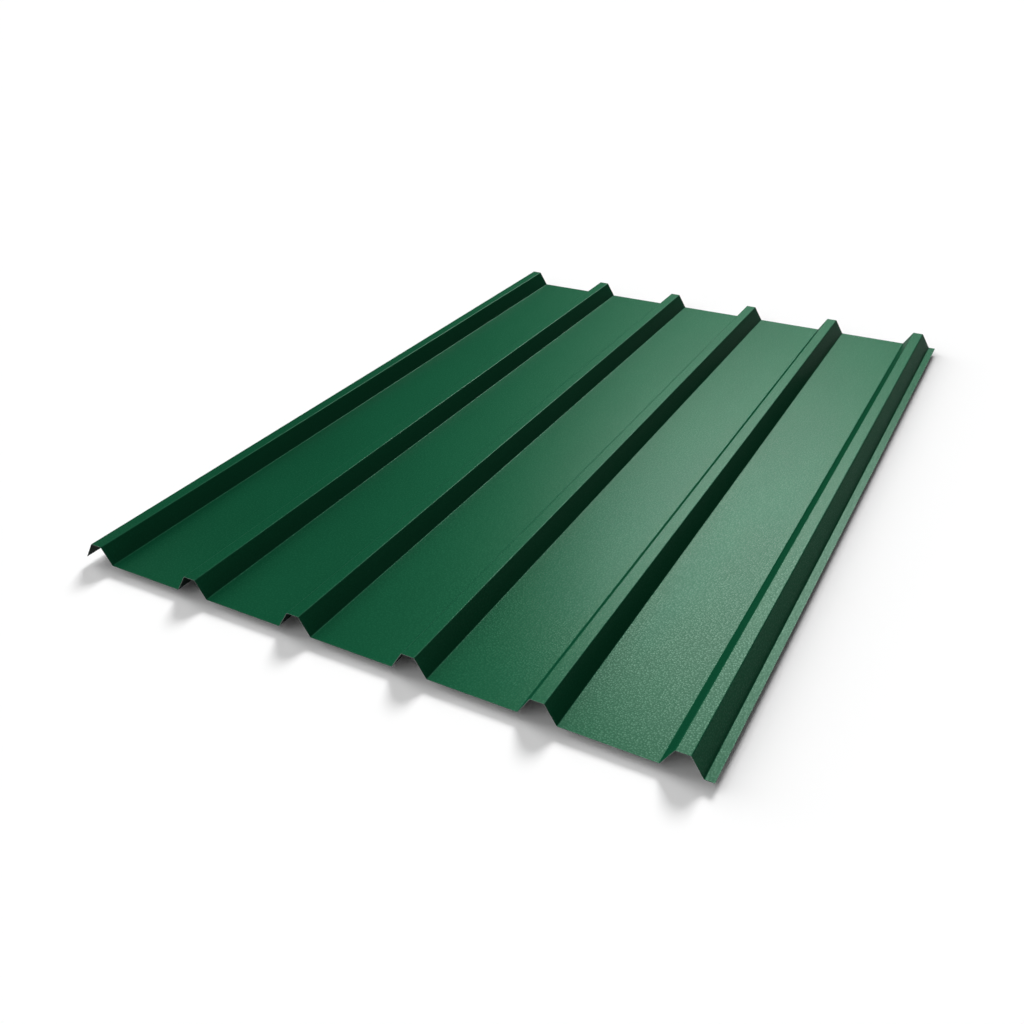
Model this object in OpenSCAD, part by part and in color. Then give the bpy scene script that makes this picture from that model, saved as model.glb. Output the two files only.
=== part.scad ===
// Trapezoidal profiled sheet: one steel strip, roll-formed into flat pans and upright ribs.
// X runs across the ribs, Y along them and Z up. The origin is on the underside of the sheet,
// at the middle of its length and of its cover width.

/* [Sheet] */
// Length of the sheet, along the ribs
sheet_l = 1550; // [600:10:6000]
// Thickness of the coated steel
sheet_t = 0.5; // [0.4:0.05:1.2]
// Inside radius of every bend
bend_r = 2; // [1:0.25:4]

/* [Ribs] */
// Number of ribs across the sheet
rib_count = 6; // [3:1:9]
// Distance from one rib to the next
rib_pitch = 200; // [120:1:300]
// Depth of the profile, from pan to crown
rib_h = 30; // [18:0.5:45]
// Width of the crown on top of a rib, from corner to corner
crown_w = 21; // [15:0.5:40]
// Width of a rib at its foot, from corner to corner
foot_w = 58; // [45:0.5:80]

/* [Side laps] */
// Width of the flat flange beside the last rib
flange_w = 14; // [8:0.5:30]
// Height above the pans at which the free leg of the first rib ends
free_leg_gap = 1; // [0:0.5:8]

/* [Appearance] */
// Colour of the coat
coat_colour = "#0f5737"; // ["#0f5737", "#6b2a22", "#4a4d50", "#c9c6ba"]

/* [Hidden] */

// Flat steps that each bend is drawn with
bend_steps = 6;
// Radius of the middle of the strip in a bend
mid_r = bend_r + sheet_t / 2;
// Cover width: what one sheet adds to a row of lapped sheets
cover_w = rib_pitch * (rib_count - 1);
// Distance across a leg, from its foot to the crown
leg_run = (foot_w - crown_w) / 2;

function rib_x(i) = i * rib_pitch - cover_w / 2;

// Corners of one rib along the middle of the strip, from its left foot to its right foot
function rib_corners(x) = [
    [x - foot_w / 2, 0],
    [x - crown_w / 2, rib_h],
    [x + crown_w / 2, rib_h],
    [x + foot_w / 2, 0],
];

// The free leg ends part of the way down the line from the first crown to its left foot
free_leg_end = [
    rib_x(0) - foot_w / 2 + leg_run * free_leg_gap / rib_h,
    free_leg_gap,
];
flange_end = [rib_x(rib_count - 1) + foot_w / 2 + flange_w, 0];

// All corners of the strip: the first rib has no left foot, because its leg is free
all_feet_and_crowns = [for (i = [0 : rib_count - 1]) each rib_corners(rib_x(i))];
strip_corners = concat(
    [free_leg_end],
    [for (i = [1 : len(all_feet_and_crowns) - 1]) all_feet_and_crowns[i]],
    [flange_end]
);

function heading(from, to) = atan2(to[1] - from[1], to[0] - from[0]);
function left_of(angle) = [-sin(angle), cos(angle)];
function unit(angle) = [cos(angle), sin(angle)];

// Points of a bend at corner b, on the face that lies offset to the left of the middle line
function bend_points(a, b, c, offset) =
    let (
        angle_in = heading(a, b),
        turn = heading(b, c) - angle_in,
        side = sign(turn),
        start = b - mid_r * tan(abs(turn) / 2) * unit(angle_in),
        centre = start + side * mid_r * left_of(angle_in)
    )
    [for (i = [0 : bend_steps])
        centre + (offset - side * mid_r) * left_of(angle_in + turn * i / bend_steps)];

// One face of the strip from the free leg to the flange
function strip_face(offset) =
    let (last = len(strip_corners) - 1)
    concat(
        [strip_corners[0] + offset * left_of(heading(strip_corners[0], strip_corners[1]))],
        [for (i = [1 : last - 1])
            each bend_points(strip_corners[i - 1], strip_corners[i], strip_corners[i + 1], offset)],
        [strip_corners[last] + offset * left_of(heading(strip_corners[last - 1], strip_corners[last]))]
    );

function reversed(list) = [for (i = [len(list) - 1 : -1 : 0]) list[i]];

// Section across the ribs, standing on the underside of the pans
module sheet_section() {
    translate([0, sheet_t / 2])
        polygon(concat(strip_face(sheet_t / 2), reversed(strip_face(-sheet_t / 2))));
}

module profiled_sheet() {
    color(coat_colour)
        rotate([90, 0, 0])
            linear_extrude(height = sheet_l, center = true)
                sheet_section();
}

profiled_sheet();
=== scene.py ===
# Trapezoidal metal roofing sheet, green coat over thin steel, lying flat on a pale floor
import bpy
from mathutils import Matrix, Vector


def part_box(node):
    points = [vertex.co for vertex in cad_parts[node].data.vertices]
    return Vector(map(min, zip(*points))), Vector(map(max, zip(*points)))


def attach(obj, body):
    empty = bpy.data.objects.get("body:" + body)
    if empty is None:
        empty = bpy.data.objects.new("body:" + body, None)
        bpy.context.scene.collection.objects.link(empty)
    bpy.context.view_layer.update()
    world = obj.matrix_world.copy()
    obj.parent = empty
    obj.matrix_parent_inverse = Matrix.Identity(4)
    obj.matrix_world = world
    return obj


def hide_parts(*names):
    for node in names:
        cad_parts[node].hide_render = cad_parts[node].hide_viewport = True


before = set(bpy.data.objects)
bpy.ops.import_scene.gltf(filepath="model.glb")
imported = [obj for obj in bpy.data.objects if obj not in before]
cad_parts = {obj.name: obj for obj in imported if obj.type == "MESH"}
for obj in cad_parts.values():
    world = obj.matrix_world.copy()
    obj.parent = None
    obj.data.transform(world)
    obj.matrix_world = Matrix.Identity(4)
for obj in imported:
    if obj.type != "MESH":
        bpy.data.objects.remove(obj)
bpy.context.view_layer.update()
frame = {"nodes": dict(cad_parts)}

import math

import bpy
from mathutils import Matrix, Vector

scene = bpy.context.scene
print("frame loaded:", ", ".join(frame["nodes"]))


# small helpers for node trees
def feed(tree, node, inputs):  # a value is set, an output is linked
    for name, value in inputs.items():
        if isinstance(value, bpy.types.NodeSocket):
            tree.links.new(value, node.inputs[name])
        else:
            node.inputs[name].default_value = value


def addNode(tree, kind, settings=None, inputs=None):
    node = tree.nodes.new("ShaderNode" + kind)
    for name, value in (settings or {}).items():
        setattr(node, name, value)
    feed(tree, node, inputs or {})
    return node


def calc(tree, operation, first, second):
    node = addNode(tree, "Math", {"operation": operation}, {0: first, 1: second})
    return node.outputs[0]


def spread(tree, value, fromLow, fromHigh, toLow, toHigh, soft=False):
    kind = "SMOOTHSTEP" if soft else "LINEAR"
    limits = {"From Min": fromLow, "From Max": fromHigh, "To Min": toLow, "To Max": toHigh}
    node = addNode(tree, "MapRange", {"interpolation_type": kind}, {"Value": value, **limits})
    return node.outputs["Result"]


def between(tree, mask, low, high):  # a mask from 0 to 1 becomes a value from low to high
    return spread(tree, mask, 0.0, 1.0, low, high)


def blendColours(tree, factor, first, second):
    node = addNode(tree, "Mix", {"data_type": "RGBA"}, {"Factor": factor, "A": first, "B": second})
    return node.outputs["Result"]


def newGroup(name, inputs, outputs):
    tree = bpy.data.node_groups.new(name, "ShaderNodeTree")
    for label, kind in inputs:
        tree.interface.new_socket(label, in_out="INPUT", socket_type=kind)
    for label, kind in outputs:
        tree.interface.new_socket(label, in_out="OUTPUT", socket_type=kind)
    start = tree.nodes.new("NodeGroupInput")
    end = tree.nodes.new("NodeGroupOutput")
    return tree, start, end


def useGroup(tree, group, inputs):
    node = tree.nodes.new("ShaderNodeGroup")
    node.node_tree = group
    feed(tree, node, inputs)
    return node


def newMaterial(name):
    material = bpy.data.materials.new(name)
    material.use_nodes = True
    tree = material.node_tree
    tree.nodes.clear()
    shader = addNode(tree, "BsdfPrincipled")
    addNode(tree, "OutputMaterial", inputs={"Surface": shader.outputs["BSDF"]})
    return material, tree, shader


# embossed grain of a coat: small pebbles with soft furrows between them, measured in cells
pebble = {
    "driftScale": 0.7,
    "driftDetail": 1.0,
    "driftMiddle": (0.5, 0.5, 0.5),
    "softness": 0.45,
    "scatter": 0.85,
    "furrowAt": 0.7,        # distance from a pebble's middle
    "tipFrom": 0.08,
    "tipTo": 0.48,
    "faintTip": 0.35,       # the faintest tip against the brightest
}


def makeGrainGroup():
    tree, start, end = newGroup(
        "embossedGrain",
        [("Place", "NodeSocketVector"), ("Cell", "NodeSocketFloat"), ("Wander", "NodeSocketFloat")],
        [("Height", "NodeSocketFloat"), ("Fleck", "NodeSocketFloat")],
    )
    perMetre = calc(tree, "DIVIDE", 1.0, start.outputs["Cell"])
    cells = addNode(tree, "VectorMath", {"operation": "SCALE"},
                    {"Vector": start.outputs["Place"], "Scale": perMetre})
    drift = addNode(tree, "TexNoise", {"noise_dimensions": "2D"},
                    {"Vector": cells.outputs[0],
                     "Scale": pebble["driftScale"], "Detail": pebble["driftDetail"]})
    centred = addNode(tree, "VectorMath", {"operation": "SUBTRACT"},
                      {0: drift.outputs["Color"], 1: pebble["driftMiddle"]})
    pushed = addNode(tree, "VectorMath", {"operation": "SCALE"},
                     {"Vector": centred.outputs[0], "Scale": start.outputs["Wander"]})
    moved = addNode(tree, "VectorMath", {"operation": "ADD"},
                    {0: cells.outputs[0], 1: pushed.outputs[0]})
    layout = {"Vector": moved.outputs[0], "Scale": 1.0, "Randomness": pebble["scatter"]}
    pebbles = addNode(tree, "TexVoronoi", {"voronoi_dimensions": "2D", "feature": "SMOOTH_F1"},
                      {"Smoothness": pebble["softness"], **layout})
    height = spread(tree, pebbles.outputs["Distance"], 0.0, pebble["furrowAt"], 1.0, 0.0, soft=True)
    tips = addNode(tree, "TexVoronoi", {"voronoi_dimensions": "2D"}, layout)
    tip = spread(tree, tips.outputs["Distance"], pebble["tipFrom"], pebble["tipTo"], 1.0, 0.0, soft=True)
    chance = addNode(tree, "SeparateColor", inputs={0: tips.outputs["Color"]}).outputs["Red"]
    fleck = calc(tree, "MULTIPLY", tip, between(tree, chance, pebble["faintTip"], 1.0))
    feed(tree, end, {"Height": height, "Fleck": fleck})
    return tree


# slow unevenness of a roller-coated strip, drawn out along the strip
roller = {
    "detail": 3.0,
    "roughness": 0.55,
    "clearBelow": 0.3,
    "fullAbove": 0.7,
}


def makeCloudGroup():
    tree, start, end = newGroup(
        "rollerClouds",
        [("Place", "NodeSocketVector"), ("Across", "NodeSocketFloat"), ("Along", "NodeSocketFloat")],
        [("Cloud", "NodeSocketFloat")],
    )
    split = addNode(tree, "SeparateXYZ", inputs={0: start.outputs["Place"]})
    across = calc(tree, "DIVIDE", split.outputs["X"], start.outputs["Across"])
    along = calc(tree, "DIVIDE", split.outputs["Y"], start.outputs["Along"])
    joined = addNode(tree, "CombineXYZ", inputs={"X": across, "Y": along})
    noise = addNode(tree, "TexNoise", {"noise_dimensions": "2D"},
                    {"Vector": joined.outputs[0], "Scale": 1.0,
                     "Detail": roller["detail"], "Roughness": roller["roughness"]})
    cloud = spread(tree, noise.outputs["Fac"], roller["clearBelow"], roller["fullAbove"], 0.0, 1.0)
    feed(tree, end, {"Cloud": cloud})
    return tree


grainGroup = makeGrainGroup()
cloudGroup = makeCloudGroup()
print("shared finishes made:", grainGroup.name, cloudGroup.name)


def stripPlace(tree):  # place on the flat strip, with the side of the sheet as its third number
    return addNode(tree, "Attribute", {"attribute_name": "unrolled"}).outputs["Vector"]


def layGrain(tree, look):  # flecks, clouds and relief, which both coats have
    place = stripPlace(tree)
    grain = useGroup(tree, grainGroup, {
        "Place": place, "Cell": look["grainCell"], "Wander": look["grainWander"]})
    clouds = useGroup(tree, cloudGroup, {
        "Place": place, "Across": look["cloudAcross"], "Along": look["cloudAlong"]})
    relief = addNode(tree, "Bump", inputs={
        "Strength": 1.0, "Distance": look["grainDepth"], "Height": grain.outputs["Height"]})
    return grain.outputs["Fleck"], clouds.outputs["Cloud"], relief.outputs["Normal"]


# the coloured coat on the weather side
coat = {
    "deepColour": (0.0036, 0.0626, 0.0274, 1.0),
    "lightColour": (0.0051, 0.0840, 0.0371, 1.0),
    "fleckShare": 0.8,                  # how far flecks and clouds lighten the colour
    "cloudShare": 0.2,
    # painted highlight: a lighter colour along every bend of the section, for the light lines on the folds
    "bendHighlightColour": (0.016, 0.085, 0.048, 1.0),
    "bendHighlightShare": 0.4,
    "roughLow": 0.52,
    "roughHigh": 0.56,
    "flakeLow": 0.46,                   # share of metal flakes, more of them on the tips
    "flakeHigh": 0.74,
    "flakeEdge": (0.5, 0.5, 0.5, 1.0),  # keeps the flakes green at a low angle
    "specularLevel": 0.0,
    "filmLow": 0.09,                    # thin clear film on top, less of it in the furrows
    "filmHigh": 0.22,
    "filmRough": 0.27,
    "grainCell": 0.0036,
    "grainWander": 0.6,
    "grainDepth": 0.00004,
    "cloudAcross": 0.11,
    "cloudAlong": 0.4,
}


def makeCoat():
    material, tree, shader = newMaterial("greenCoat")
    fleck, cloud, relief = layGrain(tree, coat)
    fromFlecks = calc(tree, "MULTIPLY", fleck, coat["fleckShare"])
    fromClouds = calc(tree, "MULTIPLY", cloud, coat["cloudShare"])
    tone = calc(tree, "ADD", fromFlecks, fromClouds)
    colour = blendColours(tree, tone, coat["deepColour"], coat["lightColour"])
    # painted highlight: the bends of the section get a lighter colour
    bend = addNode(tree, "Attribute", {"attribute_name": "bend"}).outputs["Fac"]
    bendHighlightMask = calc(tree, "MULTIPLY", bend, coat["bendHighlightShare"])
    feed(tree, shader, {
        "Base Color": blendColours(tree, bendHighlightMask, colour, coat["bendHighlightColour"]),
        "Roughness": between(tree, cloud, coat["roughLow"], coat["roughHigh"]),
        "Metallic": between(tree, fleck, coat["flakeLow"], coat["flakeHigh"]),
        "Specular Tint": coat["flakeEdge"],
        "Specular IOR Level": coat["specularLevel"],
        "Coat Weight": between(tree, fleck, coat["filmLow"], coat["filmHigh"]),
        "Coat Roughness": coat["filmRough"],
        "Normal": relief,
    })
    return material


# the thin backing coat on the underside, in a near-black green that is partly its own dark colour and
# partly painted shade
backing = {
    "deepColour": (0.0035, 0.0105, 0.0070, 1.0),
    "lightColour": (0.0055, 0.0150, 0.0105, 1.0),
    "roughLow": 0.60,
    "roughHigh": 0.70,
    "specularLevel": 0.04,
    "grainCell": 0.0032,
    "grainWander": 0.8,
    "grainDepth": 0.00002,
    "cloudAcross": 0.06,
    "cloudAlong": 0.5,
}


def makeBacking():
    material, tree, shader = newMaterial("backingCoat")
    fleck, cloud, relief = layGrain(tree, backing)
    feed(tree, shader, {
        "Base Color": blendColours(tree, cloud, backing["deepColour"], backing["lightColour"]),
        "Roughness": between(tree, fleck, backing["roughLow"], backing["roughHigh"]),
        "Specular IOR Level": backing["specularLevel"],
        "Normal": relief,
    })
    return material


# the sheared edge: bare zinc-coated steel between the two coats
edge = {
    "steelColour": (0.30, 0.32, 0.31, 1.0),
    "dullColour": (0.17, 0.19, 0.18, 1.0),
    "coatShare": 0.16,      # of the thickness
    "backingShare": 0.08,
    "burrSize": 0.0012,
    "burrDetail": 2.0,
    "burrLow": 0.3,
    "burrHigh": 0.7,
    "roughLow": 0.35,
    "roughHigh": 0.6,
}


def makeEdge():
    material, tree, shader = newMaterial("shearedEdge")
    place = stripPlace(tree)
    through = addNode(tree, "SeparateXYZ", inputs={0: place}).outputs["Z"]
    burr = addNode(tree, "TexNoise", inputs={
        "Vector": place, "Scale": 1 / edge["burrSize"], "Detail": edge["burrDetail"]}).outputs["Fac"]
    steel = blendColours(tree, burr, edge["dullColour"], edge["steelColour"])
    inCoat = calc(tree, "GREATER_THAN", through, 1 - edge["coatShare"])
    inBacking = calc(tree, "LESS_THAN", through, edge["backingShare"])
    colour = blendColours(tree, inCoat, steel, coat["lightColour"])
    painted = calc(tree, "MAXIMUM", inCoat, inBacking)
    rough = spread(tree, burr, edge["burrLow"], edge["burrHigh"], edge["roughLow"], edge["roughHigh"])
    feed(tree, shader, {
        "Base Color": blendColours(tree, inBacking, colour, backing["lightColour"]),
        "Roughness": rough,
        "Metallic": calc(tree, "SUBTRACT", 1.0, painted),
    })
    return material


# the sheet itself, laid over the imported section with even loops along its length
sheetMesh = {
    "loopGap": 0.05,
    "sameEnd": 1e-6,        # points this near the front end belong to the section
    "digits": 7,
    "upwards": 0.1,         # a face of the weather side looks up at least this much
    "sideways": 0.5,        # and along the sheet less than this
    "leastTurn": 1e-3,      # radians from which the section bends
}
weatherSide, underside, cutEdge = 0, 1, 2  # order of the finishes on the sheet


def readSection(node):
    mesh = node.data
    frontEnd = min(vertex.co.y for vertex in mesh.vertices)
    upper, every = set(), set()
    for polygon in mesh.polygons:
        facesUp = polygon.normal.z > sheetMesh["upwards"] and abs(polygon.normal.y) < sheetMesh["sideways"]
        for index in polygon.vertices:
            point = mesh.vertices[index].co
            if point.y - frontEnd > sheetMesh["sameEnd"]:
                continue
            key = (round(point.x, sheetMesh["digits"]), round(point.z, sheetMesh["digits"]))
            every.add(key)
            if facesUp:
                upper.add(key)
    outer = [Vector(key) for key in sorted(upper)]
    under = [Vector(key) for key in sorted(every - upper)]
    return outer, under


def intoSpace(point, y=0.0):  # the section is drawn across the sheet, with its height second
    return Vector((point.x, y, point.y))


def buildSheet(node):
    outer, under = readSection(node)
    low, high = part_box("profiled_sheet")
    count = len(outer)
    last = count - 1
    spans = round((high[1] - low[1]) / sheetMesh["loopGap"])
    stations = [low[1] + (high[1] - low[1]) * i / spans for i in range(spans + 1)]
    facing = [(a - b).normalized() for a, b in zip(outer, under)]  # out of the weather side
    middle = [(a + b) / 2 for a, b in zip(outer, under)]
    developed = [0.0]
    for a, b in zip(middle, middle[1:]):
        developed.append(developed[-1] + (b - a).length)

    vertices = [intoSpace(point, y) for y in stations for point in outer + under]
    faces, kinds = [], []
    corners = []  # finish, station, place in the section, side (1 above, 0 below) and normal

    def addFace(kind, points, normal=None):
        faces.append([(2 * row + 1 - side) * count + i for row, i, side in points])
        kinds.append(kind)
        for row, i, side in points:
            ownNormal = intoSpace(facing[i]) * (1 if side else -1)
            corners.append((kind, row, i, side, ownNormal if normal is None else normal))

    freeSide = intoSpace(outer[0] - outer[1]).normalized()
    flangeSide = intoSpace(outer[-1] - outer[-2]).normalized()
    for row in range(spans):
        ahead = row + 1
        for i in range(last):
            addFace(weatherSide, [(row, i, 1), (row, i + 1, 1), (ahead, i + 1, 1), (ahead, i, 1)])
            addFace(underside, [(row, i, 0), (ahead, i, 0), (ahead, i + 1, 0), (row, i + 1, 0)])
        addFace(cutEdge, [(row, 0, 0), (row, 0, 1), (ahead, 0, 1), (ahead, 0, 0)], freeSide)
        addFace(cutEdge, [(row, last, 1), (row, last, 0), (ahead, last, 0), (ahead, last, 1)], flangeSide)
    toFront, toBack = Vector((0, -1, 0)), Vector((0, 1, 0))
    for i in range(last):
        addFace(cutEdge, [(0, i, 0), (0, i + 1, 0), (0, i + 1, 1), (0, i, 1)], toFront)
        addFace(cutEdge, [(spans, i, 1), (spans, i + 1, 1), (spans, i + 1, 0), (spans, i, 0)], toBack)

    mesh = bpy.data.meshes.new("profiledSheet")
    mesh.from_pydata(vertices, [], faces)
    for polygon, kind in zip(mesh.polygons, kinds):
        polygon.material_index = kind
        polygon.use_smooth = True

    # place on the flat strip before it was bent, for the finishes and the bake
    turn = bendStrength(facing)
    width, length = developed[-1], stations[-1] - stations[0]
    flatPlaces, bends, chartPlaces = [], [], []
    for kind, row, i, side, normal in corners:
        along = stations[row] - stations[0]
        flatPlaces += [developed[i], along, side]
        bends.append(turn[i])
        chartPlaces += chartPlace(kind, developed[i] / width, along / length, side, normal)
    mesh.attributes.new("unrolled", "FLOAT_VECTOR", "CORNER").data.foreach_set("vector", flatPlaces)
    mesh.attributes.new("bend", "FLOAT", "CORNER").data.foreach_set("value", bends)
    mesh.uv_layers.new(name="OFBake").data.foreach_set("uv", chartPlaces)
    mesh.normals_split_custom_set([corner[-1] for corner in corners])
    return bpy.data.objects.new("profiledSheet", mesh)


def bendStrength(facing):  # 1 where the section turns, 0 where it runs straight
    turning = [a.angle(b) > sheetMesh["leastTurn"] for a, b in zip(facing, facing[1:])]
    before = [False] + turning
    after = turning + [False]
    return [1.0 if a and b else 0.0 for a, b in zip(before, after)]


# shares of the bake chart: weather side, underside, cut ends, long edges
chart = {
    "topHigh": 0.74,
    "underLow": 0.75,
    "underHigh": 0.94,
    "endLow": 0.95,
    "sideLow": 0.975,
    "strip": 0.008,
    "stripStep": 0.0104,    # from the first strip of a pair to the second
}


def chartPlace(kind, across, along, side, normal):
    if kind == weatherSide:
        return along, across * chart["topHigh"]
    if kind == underside:
        return along, chart["underLow"] + across * (chart["underHigh"] - chart["underLow"])
    if normal.y != 0:  # a cut end, front or back
        step = chart["stripStep"] if normal.y > 0 else 0.0
        return across, chart["endLow"] + step + side * chart["strip"]
    step = chart["stripStep"] if across > 0 else 0.0  # a long edge, of the free leg or the flange
    return along, chart["sideLow"] + step + side * chart["strip"]


sheet = buildSheet(frame["nodes"]["profiled_sheet"])
scene.collection.objects.link(sheet)
for material in (makeCoat(), makeBacking(), makeEdge()):
    sheet.data.materials.append(material)
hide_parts("profiled_sheet")
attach(sheet, "root")
print("sheet built:", len(sheet.data.polygons), "faces,", len(sheet.data.materials), "finishes")

# the pale floor, a little below the pans
floorLook = {
    "colour": (0.97, 0.97, 0.97, 1.0),
    "rough": 0.9,
    "specularLevel": 0.0,
    "size": 160.0,
    "height": -0.012,
}


def makeFloor():
    half = floorLook["size"] / 2
    mesh = bpy.data.meshes.new("floor")
    corners = [(-half, -half), (half, -half), (half, half), (-half, half)]
    mesh.from_pydata([(x, y, floorLook["height"]) for x, y in corners], [], [(0, 1, 2, 3)])
    material, tree, shader = newMaterial("paleFloor")
    feed(tree, shader, {
        "Base Color": floorLook["colour"],
        "Roughness": floorLook["rough"],
        "Specular IOR Level": floorLook["specularLevel"],
    })
    mesh.materials.append(material)
    floor = bpy.data.objects.new("floor", mesh)
    scene.collection.objects.link(floor)


makeFloor()

# studio light: soft lamps behind the sheet, on its left and in front, in a room that is pale at the horizon
lights = {
    "back": {"azimuth": -12.3, "height": 35.6, "share": 0.455, "spread": 20.5},
    "side": {"azimuth": -85.0, "height": 33.0, "share": 0.315, "spread": 46.0},
    "front": {"azimuth": 204.0, "height": 28.0, "share": 0.155, "spread": 60.0},
    "roomColour": (1.0, 1.0, 1.0, 1.0),
    "roomLow": 0.8,
    "roomHigh": 0.11,
    "fadeFrom": 3.0,        # degrees above the horizon
    "fadeTo": 9.0,
}


def addSun(name):
    look = lights[name]
    turn, height = math.radians(look["azimuth"]), math.radians(look["height"])  # azimuth from +Y towards +X
    way = Vector((math.sin(turn) * math.cos(height), math.cos(turn) * math.cos(height), math.sin(height)))
    lamp = bpy.data.lights.new(name + "Lamp", "SUN")
    lamp.angle = math.radians(look["spread"])
    lamp.energy = look["share"] * math.pi / math.sin(height)  # its share of the light on the floor
    holder = bpy.data.objects.new(name + "Lamp", lamp)
    holder.rotation_euler = way.to_track_quat("Z", "Y").to_euler()
    scene.collection.objects.link(holder)


def makeRoom():
    world = bpy.data.worlds.new("room")
    world.use_nodes = True
    tree = world.node_tree
    tree.nodes.clear()
    way = addNode(tree, "TexCoord").outputs["Generated"]
    height = addNode(tree, "SeparateXYZ", inputs={0: way}).outputs["Z"]
    low, high = math.sin(math.radians(lights["fadeFrom"])), math.sin(math.radians(lights["fadeTo"]))
    level = spread(tree, height, low, high, lights["roomLow"], lights["roomHigh"], soft=True)
    background = addNode(tree, "Background", inputs={"Color": lights["roomColour"], "Strength": level})
    addNode(tree, "OutputWorld", inputs={"Surface": background.outputs[0]})
    scene.world = world


for name in ("back", "side", "front"):
    addSun(name)
makeRoom()
print("floor and lights set")

# the camera, where the photo was taken from
shot = {
    "eye": (0.7689, -1.6867, 0.9350),
    "looksAlong": (-0.4133, 0.7501, -0.5162),
    "rightHand": (0.8789, 0.4768, -0.0099),
    "lens": 36.54,
    "sensor": 36.0,
    "seesTo": 200.0,
}


def makeCamera():
    data = bpy.data.cameras.new("camera")
    data.lens = shot["lens"]
    data.sensor_width = shot["sensor"]
    data.clip_end = shot["seesTo"]
    camera = bpy.data.objects.new("camera", data)
    forward = Vector(shot["looksAlong"]).normalized()
    up = Vector(shot["rightHand"]).cross(forward).normalized()
    right = forward.cross(up)
    turned = Matrix((right, up, -forward)).transposed().to_4x4()
    camera.matrix_world = Matrix.Translation(shot["eye"]) @ turned
    scene.collection.objects.link(camera)
    scene.camera = camera


makeCamera()
scene.view_settings.view_transform = "Standard"
print("camera set")
